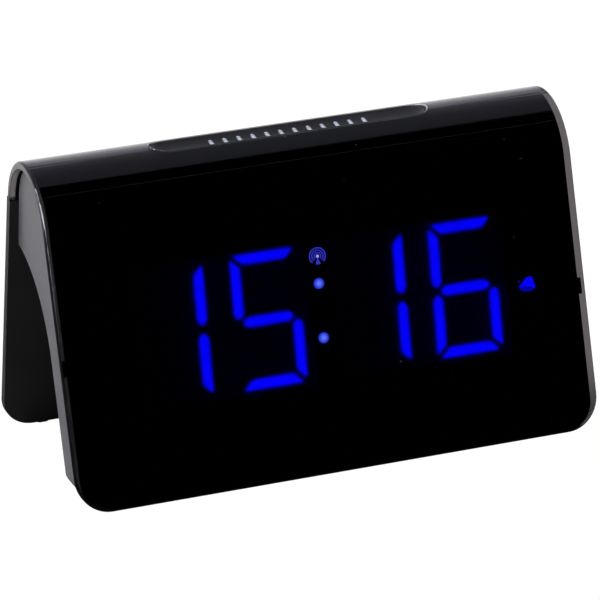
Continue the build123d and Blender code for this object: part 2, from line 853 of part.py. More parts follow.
for sign_name, pattern, thick in (
    ("lit_segments", lit_pattern, segment_depth),
    ("dark_segments", dark_pattern, segment_depth),
    ("signal_sign", signal_pattern, sign_depth),
    ("bell_sign", bell_pattern, sign_depth),
):
    with BuildPart() as sign:
        with BuildSketch(face_plane(display_depth)):
            add(pattern)
        extrude(amount=-thick)
    sign.part.label = sign_name
    export_step(sign.part, f"parts/{sign_name}.step")

with BuildPart() as colon_dots:
    with BuildSketch(face_plane(display_depth)):
        with Locations(*dot_places):
            Circle(dot_radius)
    extrude(amount=-segment_depth)
colon_dots.part.label = "colon_dots"
export_step(colon_dots.part, "parts/colon_dots.step")

# One light emitter on the main board under the middle of each segment, dot and sign
level_chips = [(0, 0), (0, half_h - half_s), (0, half_s - half_h)]
upright_chips = [
    (hand * (half_w - half_s), step * (half_h - half_s) / 2) for hand in (-1, 1) for step in (-1, 1)
]
with BuildPart() as light_emitters:
    with BuildSketch(face_plane(board_front)):
        for place in digit_places:
            for x, up in slanted(level_chips):
                with Locations((place + x, display_up + up)):
                    Rectangle(chip_length, chip_width)
            for x, up in slanted(upright_chips):
                with Locations((place + x, display_up + up)):
                    Rectangle(chip_width, chip_length)
        with Locations(*dot_places):
            Rectangle(chip_width, chip_width)
        with Locations((signal_x, display_up + signal_up), (bell_x, display_up + bell_up)):
            Rectangle(chip_length, chip_width)
    extrude(amount=chip_height)
light_emitters.part.label = "light_emitters"
export_step(light_emitters.part, "parts/light_emitters.step")

# Main board, screwed to the back of the display frame and notched around the power inlet
board_half = half_room - board_in
board_low = (foot_height + wall + board_back * sin(face_turn)) / cos(face_turn) + board_foot_gap
board_high = display_up + frame_height / 2 + board_top
rod_left = snooze_board_half + rod_board_gap
rod_length = half_room - rod_in - rod_left
with BuildPart() as main_board:
    with BuildSketch(face_plane(board_front)):
        with Locations((0, (board_low + board_high) / 2)):
            Rectangle(2 * board_half, board_high - board_low)
        with Locations((inlet_x, inlet_up)):
            Rectangle(inlet_size + 2 * fit_gap, inlet_size + 2 * fit_gap, mode=Mode.SUBTRACT)
        with Locations((-board_half, inlet_up)):
            Rectangle(2 * (board_half + inlet_x), inlet_size + 2 * fit_gap, mode=Mode.SUBTRACT)
        with Locations(*board_screw_places):
            Circle(screw_radius + hole_slack, mode=Mode.SUBTRACT)
        with Locations(*case_screw_places):
            Circle(boss_radius + fit_gap, mode=Mode.SUBTRACT)
    extrude(amount=-board_thickness)
main_board.part.label = "main_board"
export_step(main_board.part, "parts/main_board.step")

with BuildPart() as control_chip:
    with BuildSketch(face_plane(board_back)):
        with Locations((0, display_up)):
            Rectangle(control_size, control_size)
    extrude(amount=-control_height)
control_chip.part.label = "control_chip"
export_step(control_chip.part, "parts/control_chip.step")

with BuildPart() as radio_receiver:
    with BuildSketch(face_plane(board_back)):
        with Locations((rod_left + rod_length / 2, display_up)):
            Rectangle(receiver_length, receiver_width)
    extrude(amount=-receiver_height)
radio_receiver.part.label = "radio_receiver"
export_step(radio_receiver.part, "parts/radio_receiver.step")

with BuildPart() as board_screws:
    with BuildSketch(face_plane(board_back)):
        with Locations(*board_screw_places):
            Circle(screw_head)
    extrude(amount=-screw_head_height)
    with BuildSketch(face_plane(board_back)):
        with Locations(*board_screw_places):
            Circle(screw_radius)
    extrude(amount=screw_length - fit_gap)
board_screws.part.label = "board_screws"
export_step(board_screws.part, "parts/board_screws.step")

# Battery bay: a round well that opens through the cove, square to the way its door lifts off
bay_radius = cell_radius + cell_gap
bay_x = bay_in + bay_radius - half_room
bay_turn = (bay_radius + bay_wall + bay_leg_gap) / (cove_radius + wall) + radians(cove_angle)
cell_start = cove_radius + wall + cell_gap
bay_floor = cell_start + cell_thickness + spring_room


def bay_plane(reach):
    # Faces out of the bay, at a distance from the cove's middle
    spot = Vector(cove_middle[0] + reach * cos(bay_turn), cove_middle[1] + reach * sin(bay_turn), bay_x)
    lift = bay_turn - face_turn
    return Plane(origin=side.from_local_coords(spot), x_dir=(1, 0, 0), z_dir=(0, -cos(lift), -sin(lift)))


def cove_wall(inner, outer):
    # The flat back and the cove as one curved wall, cut to the housing's room
    with BuildPart() as shell:
        with BuildSketch(side):
            with BuildLine():
                far = (cove_middle[0] + outer * cos(radians(cove_angle - 20)),
                       cove_middle[1] + outer * sin(radians(cove_angle - 20)))
                near = (cove_middle[0] + inner * cos(radians(cove_angle - 20)),
                        cove_middle[1] + inner * sin(radians(cove_angle - 20)))
                CenterArc(cove_middle, outer, 180, cove_angle - 200)
                Line(far, near)
                CenterArc(cove_middle, inner, 180, cove_angle - 200)
                Polyline(
                    (cove_middle[0] - inner, cove_start),
                    (cove_middle[0] - inner, 0),
                    (cove_middle[0] - outer, 0),
                    (cove_middle[0] - outer, cove_start),
                )
            make_face()
        extrude(amount=half_room, both=True)
    return shell.part


with BuildPart() as back_cover:
    add(cove_wall(cove_radius, cove_radius + wall))
    with BuildSketch(bay_plane(cove_radius - wall)):
        Circle(bay_radius + bay_wall)
    extrude(amount=-(bay_floor + bay_wall - cove_radius + wall))
    add(hollow(fit_gap), mode=Mode.INTERSECT)
    with BuildSketch(side):
        with Locations(cove_middle):
            Circle(cove_radius)
    extrude(amount=half_room, both=True, mode=Mode.SUBTRACT)
    with BuildSketch(bay_plane(0)):
        Circle(bay_radius)
    extrude(amount=-bay_floor, mode=Mode.SUBTRACT)
    with BuildSketch(face_plane(back_depth)):
        with Locations(*case_screw_places):
            Circle(screw_head + hole_slack)
    extrude(amount=screw_head_height, mode=Mode.SUBTRACT)
    with BuildSketch(face_plane(back_depth)):
        with Locations(*case_screw_places):
            Circle(screw_radius + hole_slack)
        with Locations((inlet_x, inlet_up)):
            Circle(inlet_nose + fit_gap)
        with Locations((sounder_x, sounder_up)):
            with GridLocations(sound_slot_length, sound_slot_pitch, 1, sound_slot_count):
                Rectangle(sound_slot_length, sound_slot_width)
    extrude(amount=wall, mode=Mode.SUBTRACT)
back_cover.part.label = "back_cover"
export_step(back_cover.part, "parts/back_cover.step")

with BuildPart() as battery_door:
    add(cove_wall(cove_radius, cove_radius + wall))
    with BuildSketch(bay_plane(0)):
        Circle(bay_radius - door_gap)
    extrude(amount=-bay_floor, mode=Mode.INTERSECT)
    with BuildSketch(bay_plane(cove_radius + door_slot_depth)):
        SlotOverall(door_slot_length, door_slot_width)
    extrude(amount=2 * door_slot_depth, mode=Mode.SUBTRACT)
battery_door.part.label = "battery_door"
export_step(battery_door.part, "parts/battery_door.step")

with BuildPart() as backup_cell:
    with BuildSketch(bay_plane(cell_start)):
        Circle(cell_radius)
    extrude(amount=-cell_thickness)
backup_cell.part.label = "backup_cell"
export_step(backup_cell.part, "parts/backup_cell.step")

# Contacts: a plate on the floor of the bay and a strip along its wall
with BuildPart() as battery_contacts:
    with BuildSketch(bay_plane(bay_floor)):
        Circle(plate_radius)
    extrude(amount=plate_thickness)
    with BuildSketch(bay_plane(cell_start)):
        Circle(bay_radius - strip_gap)
        Circle(cell_radius + strip_gap, mode=Mode.SUBTRACT)
        with Locations((bay_radius, 0)):
            Rectangle(2 * cell_radius, strip_width, mode=Mode.INTERSECT)
    extrude(amount=-cell_thickness)
battery_contacts.part.label = "battery_contacts"
export_step(battery_contacts.part, "parts/battery_contacts.step")

# Power inlet with its bore and centre pin
with BuildPart() as power_inlet:
    with BuildSketch(face_plane(inlet_front)):
        with Locations((inlet_x, inlet_up)):
            Rectangle(inlet_size, inlet_size)
    extrude(amount=-(lid_inner - bond_gap - inlet_front))
    with BuildSketch(face_plane(inlet_front)):
        with Locations((inlet_x, inlet_up)):
            Circle(inlet_nose)
    extrude(amount=-(back_depth - inlet_front))
    with BuildSketch(face_plane(back_depth)):
        with Locations((inlet_x, inlet_up)):
            Circle(inlet_bore)
    extrude(amount=inlet_bore_depth, mode=Mode.SUBTRACT)
power_inlet.part.label = "power_inlet"
export_step(power_inlet.part, "parts/power_inlet.step")

with BuildPart() as inlet_contact:
    with BuildSketch(face_plane(back_depth - inlet_bore_depth)):
        with Locations((inlet_x, inlet_up)):
            Circle(inlet_pin)
    extrude(amount=-(inlet_bore_depth - inlet_pin_short))
inlet_contact.part.label = "inlet_contact"
export_step(inlet_contact.part, "parts/inlet_contact.step")

with BuildPart() as sounder:
    with BuildSketch(face_plane(lid_inner)):
        with Locations((sounder_x, sounder_up)):
            Circle(sounder_radius)
    extrude(amount=sounder_thickness)
sounder.part.label = "sounder"
export_step(sounder.part, "parts/sounder.step")

with BuildPart() as case_screws:
    with BuildSketch(face_plane(back_depth)):
        with Locations(*case_screw_places):
            Circle(screw_head)
    extrude(amount=screw_head_height)
    with BuildSketch(face_plane(back_depth - screw_head_height)):
        with Locations(*case_screw_places):
            Circle(screw_radius)
    extrude(amount=screw_length)
case_screws.part.label = "case_screws"
export_step(case_screws.part, "parts/case_screws.step")

with BuildPart() as leg_screws:
    with BuildSketch(leg_plane(leg_radius)):
        with Locations(*leg_screw_places):
            Circle(screw_head)
    extrude(amount=-screw_head_height)
    with BuildSketch(leg_plane(leg_radius - screw_head_height)):
        with Locations(*leg_screw_places):
            Circle(screw_radius)
    extrude(amount=-(leg_thickness - screw_head_height + screw_length - fit_gap))
leg_screws.part.label = "leg_screws"
export_step(leg_screws.part, "parts/leg_screws.step")

# Radio antenna under the front of the bend: rod, coil and two clips on the housing's skin
rod_reach = room_radius - coil_radius - fit_gap
rod_spot = (axis_y + rod_reach * cos(radians(rod_aim)), axis_z + rod_reach * sin(radians(rod_aim)))
rod_middle = rod_left + rod_length / 2
coil_length = rod_length - 2 * (rod_clip_inset + rod_clip_length + coil_clip_gap)


def cross_plane(x):
    return Plane(origin=(x, rod_spot[0], rod_spot[1]), x_dir=(0, 1, 0), z_dir=(1, 0, 0))


with BuildPart() as ferrite_rod:
    with BuildSketch(cross_plane(rod_left)):
        Circle(rod_radius)
    extrude(amount=rod_length)
ferrite_rod.part.label = "ferrite_rod"
export_step(ferrite_rod.part, "parts/ferrite_rod.step")

with BuildPart() as antenna_coil:
    with BuildSketch(cross_plane(rod_middle - coil_length / 2)):
        Circle(coil_radius)
        Circle(rod_radius + coil_gap, mode=Mode.SUBTRACT)
    extrude(amount=coil_length)
antenna_coil.part.label = "antenna_coil"
export_step(antenna_coil.part, "parts/antenna_coil.step")

with BuildPart() as rod_clips:
    for end in (rod_left + rod_clip_inset, rod_left + rod_length - rod_clip_inset - rod_clip_length):
        with BuildSketch(cross_plane(end)):
            Circle(rod_radius + rod_clip_wall)
            with Locations(Location((0, 0, 0), (0, 0, rod_aim))):
                Rectangle(room_radius, 2 * rod_clip_wall, align=(Align.MIN, Align.CENTER))
            Circle(rod_radius + coil_gap, mode=Mode.SUBTRACT)
        extrude(amount=rod_clip_length)
    with BuildSketch(side):
        with Locations((bend_radius, face_length)):
            Circle(room_radius - bond_gap)
    extrude(amount=width / 2, both=True, mode=Mode.INTERSECT)
rod_clips.part.label = "rod_clips"
export_step(rod_clips.part, "parts/rod_clips.step")
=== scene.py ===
import json
from math import cos, hypot, radians, sin

import bpy
from mathutils import Matrix, Vector


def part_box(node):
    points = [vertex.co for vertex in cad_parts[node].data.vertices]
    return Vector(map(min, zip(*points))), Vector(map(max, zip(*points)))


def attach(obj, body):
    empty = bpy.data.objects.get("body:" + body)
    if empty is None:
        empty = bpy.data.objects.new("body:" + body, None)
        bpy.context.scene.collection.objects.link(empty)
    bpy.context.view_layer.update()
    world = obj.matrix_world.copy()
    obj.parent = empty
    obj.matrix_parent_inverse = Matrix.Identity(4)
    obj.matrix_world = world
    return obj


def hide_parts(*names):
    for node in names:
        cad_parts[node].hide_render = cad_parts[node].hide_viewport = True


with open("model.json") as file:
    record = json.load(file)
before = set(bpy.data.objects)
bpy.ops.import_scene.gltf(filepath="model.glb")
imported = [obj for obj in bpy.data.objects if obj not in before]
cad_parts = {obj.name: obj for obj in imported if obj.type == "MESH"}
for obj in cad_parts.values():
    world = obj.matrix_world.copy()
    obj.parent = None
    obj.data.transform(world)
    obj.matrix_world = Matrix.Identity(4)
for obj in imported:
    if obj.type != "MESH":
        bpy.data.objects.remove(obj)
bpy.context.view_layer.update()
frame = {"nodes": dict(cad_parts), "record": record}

scene = bpy.context.scene
nodes = frame["nodes"]
print("frame loaded:", len(nodes), "nodes")

# how far the face and the rear leg lean back, in degrees
leans = {"face": 12.9, "leg": 17.4}
faceLean, legLean = radians(leans["face"]), radians(leans["leg"])
faceUp = Vector((0, sin(faceLean), cos(faceLean)))
faceOut = Vector((0, -cos(faceLean), sin(faceLean)))
faceBack = Vector((0, cos(faceLean), -sin(faceLean)))
legBack = Vector((0, cos(legLean), sin(legLean)))
sameSpot = 0.000001  # points closer than this are one point
sameLevel = 0.00001  # points this near the highest are level with it

# where the camera stands, in millimetres and degrees, and its clip in metres
shot = {
    "side": 19.15,
    "height": 19.58,
    "roll": -2.48,
    "distance": 1159.3,
    "target": (2.84, 1.61, 36.6),
    "lens": 252.43,
    "sensor": 36,
    "clip": (0.05, 50),
}


def placeCamera():
    az, el, roll = (radians(shot[k]) for k in ("side", "height", "roll"))
    back = Vector((-sin(az) * cos(el), -cos(az) * cos(el), sin(el)))
    right = (-back).cross(Vector((0, 0, 1))).normalized()
    up = right.cross(-back)
    tiltRight = right * cos(roll) + up * sin(roll)
    tiltUp = up * cos(roll) - right * sin(roll)
    spot = (Vector(shot["target"]) + back * shot["distance"]) / 1000
    cam = bpy.data.cameras.new("shotCamera")
    cam.lens = shot["lens"]
    cam.sensor_width = shot["sensor"]
    cam.clip_start, cam.clip_end = shot["clip"]
    holder = bpy.data.objects.new("shotCamera", cam)
    scene.collection.objects.link(holder)
    turn = Matrix((tiltRight, tiltUp, back)).transposed().to_4x4()
    holder.matrix_world = Matrix.Translation(spot) @ turn
    scene.camera = holder


placeCamera()
print("camera placed")


# small helpers for node trees
def newGroup(name, inputs, outputs):
    group = bpy.data.node_groups.new(name, "ShaderNodeTree")
    for label, value in inputs:
        socket = group.interface.new_socket(label, in_out="INPUT", socket_type="NodeSocketFloat")
        socket.default_value = value
    for label in outputs:
        group.interface.new_socket(label, in_out="OUTPUT", socket_type="NodeSocketFloat")
    start = group.nodes.new("NodeGroupInput")
    end = group.nodes.new("NodeGroupOutput")
    return group, start, end


def addNode(tree, kind, **values):
    node = tree.nodes.new("ShaderNode" + kind)
    for key, value in values.items():
        setattr(node, key, value)
    return node


def mathNode(tree, operation, first, second, clamp=False):
    node = addNode(tree, "Math", operation=operation, use_clamp=clamp)
    for socket, value in zip(node.inputs, (first, second)):
        if isinstance(value, (int, float)):
            socket.default_value = value
        else:
            tree.links.new(value, socket)
    return node.outputs[0]


def noiseNode(tree, vector, scale, detail, rough):
    node = addNode(tree, "TexNoise")
    node.inputs["Detail"].default_value = detail
    node.inputs["Roughness"].default_value = rough
    tree.links.new(vector, node.inputs["Vector"])
    if isinstance(scale, (int, float)):
        node.inputs["Scale"].default_value = scale
    else:
        tree.links.new(scale, node.inputs["Scale"])
    return node.outputs["Fac"]


def rampNode(tree, value, low, high):
    node = addNode(tree, "MapRange", interpolation_type="SMOOTHSTEP")
    node.inputs["From Min"].default_value = low
    node.inputs["From Max"].default_value = high
    tree.links.new(value, node.inputs["Value"])
    return node.outputs["Result"]


# moulded grain: fine height, slow tone
grainLook = {"fine": (2.0, 0.6), "slow": (3.0, 0.5), "drift": 60.0, "tone": (0.3, 0.7), "bump": 0.0002}


def makeGrainGroup():
    group, start, end = newGroup("mouldGrain", [("Scale", 9000.0)], ["Height", "Tone"])
    place = addNode(group, "TexCoord").outputs["Object"]
    fine = noiseNode(group, place, start.outputs["Scale"], *grainLook["fine"])
    slow = noiseNode(group, place, grainLook["drift"], *grainLook["slow"])
    group.links.new(fine, end.inputs["Height"])
    group.links.new(slow, end.inputs["Tone"])
    return group


# dust: a few specks on a clean surface
dustLook = {"edge": 0.075, "full": 0.02, "scale": 420.0, "tone": (0.35, 0.34, 0.33), "cover": 0.5}


def makeDustGroup():
    group, start, end = newGroup("dustSpecks", [("Scale", 300.0), ("Amount", 0.2)], ["Mask"])
    place = addNode(group, "TexCoord").outputs["Object"]
    cells = addNode(group, "TexVoronoi", feature="F1")
    group.links.new(place, cells.inputs["Vector"])
    group.links.new(start.outputs["Scale"], cells.inputs["Scale"])
    spot = addNode(group, "MapRange")
    spot.inputs["From Min"].default_value = dustLook["edge"]
    spot.inputs["From Max"].default_value = dustLook["full"]
    group.links.new(cells.outputs["Distance"], spot.inputs["Value"])
    pick = addNode(group, "SeparateColor")
    group.links.new(cells.outputs["Color"], pick.inputs["Color"])
    few = mathNode(group, "LESS_THAN", pick.outputs["Red"], start.outputs["Amount"])
    faint = mathNode(group, "MULTIPLY", few, pick.outputs["Green"])
    group.links.new(mathNode(group, "MULTIPLY", spot.outputs["Result"], faint, True), end.inputs["Mask"])
    return group


# handling: soft smears that dull the gloss
smearLook = {"stretch": (1.0, 1.6, 0.5), "turn": (0.2, 0.5, 0.3), "cloud": (4.0, 0.6), "range": (0.45, 0.75)}


def makeSmearGroup():
    group, start, end = newGroup("handSmears", [("Scale", 35.0)], ["Mask"])
    place = addNode(group, "TexCoord").outputs["Object"]
    stretch = addNode(group, "Mapping")
    stretch.inputs["Scale"].default_value = smearLook["stretch"]
    stretch.inputs["Rotation"].default_value = smearLook["turn"]
    group.links.new(place, stretch.inputs["Vector"])
    cloud = noiseNode(group, stretch.outputs["Vector"], start.outputs["Scale"], *smearLook["cloud"])
    group.links.new(rampNode(group, cloud, *smearLook["range"]), end.inputs["Mask"])
    return group


grainGroup = makeGrainGroup()
dustGroup = makeDustGroup()
smearGroup = makeSmearGroup()


def useGroup(tree, group, **values):
    node = tree.nodes.new("ShaderNodeGroup")
    node.node_tree = group
    for key, value in values.items():
        node.inputs[key].default_value = value
    return node


def startFinish(name):
    finish = bpy.data.materials.new(name)
    finish.use_nodes = True
    return finish, finish.node_tree, finish.node_tree.nodes["Principled BSDF"]


def mixTone(tree, fac, first, second):
    mix = addNode(tree, "Mix", data_type="RGBA")
    for label, tone in (("A", first), ("B", second)):
        if isinstance(tone, tuple):
            mix.inputs[label].default_value = (*tone, 1)
        else:
            tree.links.new(tone, mix.inputs[label])
    tree.links.new(fac, mix.inputs["Factor"])
    return mix.outputs["Result"]


# a roughness between two ends that follows a value
def spreadRough(tree, value, ends):
    node = addNode(tree, "MapRange")
    node.inputs["To Min"].default_value, node.inputs["To Max"].default_value = ends
    tree.links.new(value, node.inputs["Value"])
    return node.outputs["Result"]


def addBump(tree, body, height, strength, distance):
    bump = addNode(tree, "Bump")
    bump.inputs["Strength"].default_value = strength
    bump.inputs["Distance"].default_value = distance
    tree.links.new(height, bump.inputs["Height"])
    tree.links.new(bump.outputs["Normal"], body.inputs["Normal"])


# moulded plastic, rubber, board or metal: tone that drifts, grain in the bump, dust on top
def mouldedFinish(name, dark, light, rough, grain=9000.0, depth=0.1, metal=0.0, dust=0.0, shine=0.5):
    finish, tree, body = startFinish(name)
    grained = useGroup(tree, grainGroup, Scale=grain)
    tone = rampNode(tree, grained.outputs["Tone"], *grainLook["tone"])
    color = mixTone(tree, tone, dark, light)
    if dust:
        specks = useGroup(tree, dustGroup, Scale=dustLook["scale"], Amount=dust)
        cover = mathNode(tree, "MULTIPLY", specks.outputs["Mask"], dustLook["cover"])
        color = mixTone(tree, cover, color, dustLook["tone"])
    tree.links.new(color, body.inputs["Base Color"])
    tree.links.new(spreadRough(tree, grained.outputs["Height"], rough), body.inputs["Roughness"])
    addBump(tree, body, grained.outputs["Height"], depth, grainLook["bump"])
    body.inputs["Metallic"].default_value = metal
    body.inputs["Specular IOR Level"].default_value = shine
    return finish


# clear sheet of the cover
smoke = {
    "tint": (0.125, 0.112, 0.12),
    "ior": 1.49,
    "gloss": (0.02, 0.05),
    "smears": 35.0,
    "specks": 220.0,
    "dust": 0.4,
    "dusty": 0.5,
    "nib": 0.00025,
}


def smokedFinish():
    finish, tree, body = startFinish("smokedSheet")
    body.inputs["Base Color"].default_value = (*smoke["tint"], 1)
    body.inputs["Transmission Weight"].default_value = 1.0
    body.inputs["IOR"].default_value = smoke["ior"]
    smears = useGroup(tree, smearGroup, Scale=smoke["smears"])
    specks = useGroup(tree, dustGroup, Scale=smoke["specks"], Amount=smoke["dust"])
    gloss = spreadRough(tree, smears.outputs["Mask"], smoke["gloss"])
    dull = mathNode(tree, "MULTIPLY", specks.outputs["Mask"], smoke["dusty"])
    tree.links.new(mathNode(tree, "MAXIMUM", gloss, dull), body.inputs["Roughness"])
    addBump(tree, body, specks.outputs["Mask"], 1.0, smoke["nib"])
    return finish


litLook = {"rough": 0.4, "grain": 900.0}


def lightUp(tree, body, glow, strength):
    tree.links.new(glow, body.inputs["Emission Color"])
    tree.links.new(glow, body.inputs["Base Color"])
    body.inputs["Emission Strength"].default_value = strength
    body.inputs["Roughness"].default_value = litLook["rough"]


def lampFinish(name, dark, light, strength):
    finish, tree, body = startFinish(name)
    grained = useGroup(tree, grainGroup, Scale=litLook["grain"])
    lightUp(tree, body, mixTone(tree, grained.outputs["Tone"], dark, light), strength)
    return finish


# lit spots, each paler in its middle
def spotFinish(name, look, spots):
    finish, tree, body = startFinish(name)
    place = addNode(tree, "TexCoord").outputs["Object"]
    near = None
    for spot in spots:
        gap = addNode(tree, "VectorMath", operation="DISTANCE")
        gap.inputs[1].default_value = spot
        tree.links.new(place, gap.inputs[0])
        away = gap.outputs["Value"]
        near = away if near is None else mathNode(tree, "MINIMUM", near, away)
    glow = mixTone(tree, rampNode(tree, near, *look["span"]), look["pale"], look["rim"])
    lightUp(tree, body, glow, look["power"])
    return finish


dots = {"pale": (0.14, 0.25, 1.0), "rim": (0.015, 0.03, 0.6), "span": (0.0004, 0.0016), "power": 9.0}


def dotMiddles():
    low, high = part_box("colon_dots")
    halfway = (low[2] + high[2]) / 2
    points = [v.co for v in nodes["colon_dots"].data.vertices]
    lower = [p for p in points if p.z <= halfway]
    upper = [p for p in points if p.z > halfway]
    return [sum(half, Vector()) / len(half) for half in (lower, upper)]


finishes = {
    "smoked_clear": smokedFinish(),
    "mask_black": mouldedFinish(
        "maskBlack", (0.003, 0.003, 0.003), (0.005, 0.005, 0.005), (0.6, 0.75), shine=0.05
    ),
    "housing_grey": mouldedFinish(
        "housingGrey", (0.106, 0.104, 0.104), (0.124, 0.121, 0.121), (0.45, 0.6),
        grain=5000.0, depth=0.25, dust=0.03, shine=0.3
    ),
    "leg_black": mouldedFinish(
        "legBlack", (0.023, 0.022, 0.023), (0.027, 0.026, 0.026), (0.45, 0.6), dust=0.04, shine=0.15
    ),
    "foot_rubber": mouldedFinish("footRubber", (0.02, 0.02, 0.02), (0.03, 0.03, 0.03), (0.75, 0.9)),
    "bar_black": mouldedFinish(
        "barBlack", (0.022, 0.021, 0.025), (0.031, 0.03, 0.035), (0.42, 0.55), dust=0.05, shine=0.2
    ),
    "board_green": mouldedFinish(
        "boardGreen", (0.02, 0.12, 0.05), (0.03, 0.17, 0.07), (0.3, 0.4), grain=2000.0
    ),
    "switch_black": mouldedFinish(
        "switchBlack", (0.016, 0.016, 0.018), (0.026, 0.026, 0.028), (0.4, 0.55)
    ),
    "screw_steel": mouldedFinish(
        "screwSteel", (0.5, 0.5, 0.52), (0.62, 0.62, 0.64), (0.25, 0.4), metal=1.0
    ),
    "screw_black": mouldedFinish(
        "screwBlack", (0.04, 0.04, 0.045), (0.07, 0.07, 0.075), (0.35, 0.5), metal=1.0
    ),
    "key_grey": mouldedFinish(
        "keyGrey", (0.07, 0.07, 0.075), (0.09, 0.09, 0.095), (0.4, 0.5), dust=0.03
    ),
    "lit_blue": lampFinish("litBlue", (0.002, 0.0, 1.0), (0.006, 0.001, 1.0), 10.0),
    "lit_sign": lampFinish("litSign", (0.1, 0.14, 1.0), (0.16, 0.22, 1.0), 5.0),
    "dark_resin": mouldedFinish(
        "darkResin", (0.004, 0.004, 0.005), (0.006, 0.006, 0.007), (0.55, 0.7), shine=0.05
    ),
    "emitter_white": mouldedFinish("emitterWhite", (0.75, 0.74, 0.68), (0.85, 0.84, 0.78), (0.4, 0.5)),
    "cell_steel": mouldedFinish(
        "cellSteel", (0.55, 0.55, 0.57), (0.65, 0.65, 0.67), (0.2, 0.35), metal=1.0
    ),
    "contact_nickel": mouldedFinish(
        "contactNickel", (0.6, 0.59, 0.56), (0.7, 0.69, 0.66), (0.2, 0.3), metal=1.0
    ),
    "sounder_brass": mouldedFinish(
        "sounderBrass", (0.62, 0.46, 0.2), (0.72, 0.55, 0.25), (0.3, 0.4), metal=1.0
    ),
    "ferrite_grey": mouldedFinish("ferriteGrey", (0.06, 0.06, 0.065), (0.09, 0.09, 0.095), (0.6, 0.8)),
    "coil_copper": mouldedFinish(
        "coilCopper", (0.5, 0.22, 0.1), (0.62, 0.3, 0.14), (0.3, 0.4), grain=4000.0, metal=1.0
    ),
}
paleInk = mouldedFinish("paleInk", (0.5, 0.55, 0.66), (0.62, 0.68, 0.8), (0.5, 0.65), grain=3000.0, depth=0.05)
# pale grey used as a painted highlight on the slot's rim
paintedRimHighlight = mouldedFinish("paintedRimHighlight", (0.45, 0.44, 0.46), (0.55, 0.54, 0.56), (0.3, 0.4), grain=4000.0, depth=0.05)
for part in frame["record"]["subparts"]:
    holder = nodes[part["node"]]
    holder.data.materials.clear()
    holder.data.materials.append(finishes[part["material_slot"]])
nodes["colon_dots"].data.materials[0] = spotFinish("litDots", dots, dotMiddles())


def selectOnly(*pieces):
    bpy.ops.object.select_all(action="DESELECT")
    for piece in pieces:
        piece.select_set(True)
    bpy.context.view_layer.objects.active = pieces[0]


def joinPieces(pieces, pieceName):
    selectOnly(*pieces)
    bpy.ops.object.join()
    pieces[0].name = pieceName
    return pieces[0]


def deleteChosen():
    bpy.ops.object.mode_set(mode="EDIT")
    bpy.ops.mesh.delete(type="FACE")
    bpy.ops.object.mode_set(mode="OBJECT")


def setFinish(piece, finish):
    piece.data.materials.clear()
    piece.data.materials.append(finish)


# the middle of the points that stand highest along an axis, and those points
def findTop(piece, axis):
    points = [v.co for v in piece.data.vertices]
    reach = max(p.dot(axis) for p in points)
    top = [p for p in points if p.dot(axis) > reach - sameLevel]
    return sum(top, Vector()) / len(top), top


# a node's mesh with its loose triangles joined, ready to be worked on
def mergedCopy(nodeName, pieceName):
    piece = bpy.data.objects.new(pieceName, nodes[nodeName].data.copy())
    scene.collection.objects.link(piece)
    selectOnly(piece)
    bpy.ops.object.mode_set(mode="EDIT")
    bpy.ops.mesh.select_mode(type="FACE")
    bpy.ops.mesh.select_all(action="SELECT")
    bpy.ops.mesh.remove_doubles(threshold=sameSpot)
    bpy.ops.object.mode_set(mode="OBJECT")
    return piece


def applyModifier(piece, kind, **values):
    selectOnly(piece)
    modifier = piece.modifiers.new(kind.lower(), kind)
    for key, value in values.items():
        setattr(modifier, key, value)
    bpy.ops.object.modifier_apply(modifier=modifier.name)


cover = {"crease": 25, "weight": 100}


# bent sheet, smooth along the bend and crisp at its rims
def makeCover():
    piece = mergedCopy("front_cover", "smokedCover")
    bpy.ops.object.shade_smooth_by_angle(angle=radians(cover["crease"]))
    applyModifier(piece, "WEIGHTED_NORMAL", weight=cover["weight"], keep_sharp=True)
    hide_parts("front_cover")
    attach(piece, "clock")


# where the slot skins lie: rim for the painted highlight, wall for the painted shade
slotCut = {
    "length": 0.0792,
    "width": 0.0099,
    "skin": 0.00001,
    "rim": {"away": (0.00002, 0.0006), "up": (0.05, 0.95)},
    "wall": {"away": (-0.0001, 0.00002), "up": (-0.3, 0.3)},
}


# thin skin on the cut edge of the cover's slot: a pale rim that is a painted highlight, and a dark wall that
# is painted shade
def makeSlotSkin(pieceName, finish, band):
    low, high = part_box("snooze_bar")
    middleY = (low[1] + high[1]) / 2
    spine = (slotCut["length"] - slotCut["width"]) / 2
    piece = mergedCopy("front_cover", pieceName)
    for face in piece.data.polygons:
        x, y = face.center.xy
        away = hypot(max(abs(x) - spine, 0), y - middleY) - slotCut["width"] / 2
        near = band["away"][0] < away < band["away"][1]
        face.select = not (near and band["up"][0] < face.normal.z < band["up"][1])
    deleteChosen()
    bpy.ops.object.shade_smooth_by_angle(angle=radians(cover["crease"]))
    applyModifier(piece, "SOLIDIFY", thickness=slotCut["skin"], offset=1.0)
    setFinish(piece, finish)
    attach(piece, "clock")


digits = {
    "round": 0.0015,
    "steps": 4,
    "soft": 0.0008,
    "flat": 1,
    "straight": 0.99,
    "rim": (0.0, 0.0, 0.08),
    "core": (0.001, 0.0003, 1.0),
    "power": 9.5,
}


# strokes that dim towards their edges
def strokeFinish():
    finish, tree, body = startFinish("litStrokes")
    edge = addNode(tree, "Attribute", attribute_name="glow")
    soft = rampNode(tree, edge.outputs["Fac"], 0.0, 1.0)
    tone = mixTone(tree, soft, digits["rim"], digits["core"])
    lightUp(tree, body, tone, digits["power"])
    return finish


strokeGlow = strokeFinish()


# how brightly each point of a lit piece glows
def markGlow(mesh, level):
    glow = mesh.attributes.new("glow", "FLOAT", "POINT")
    for i, point in enumerate(glow.data):
        point.value = level(i)


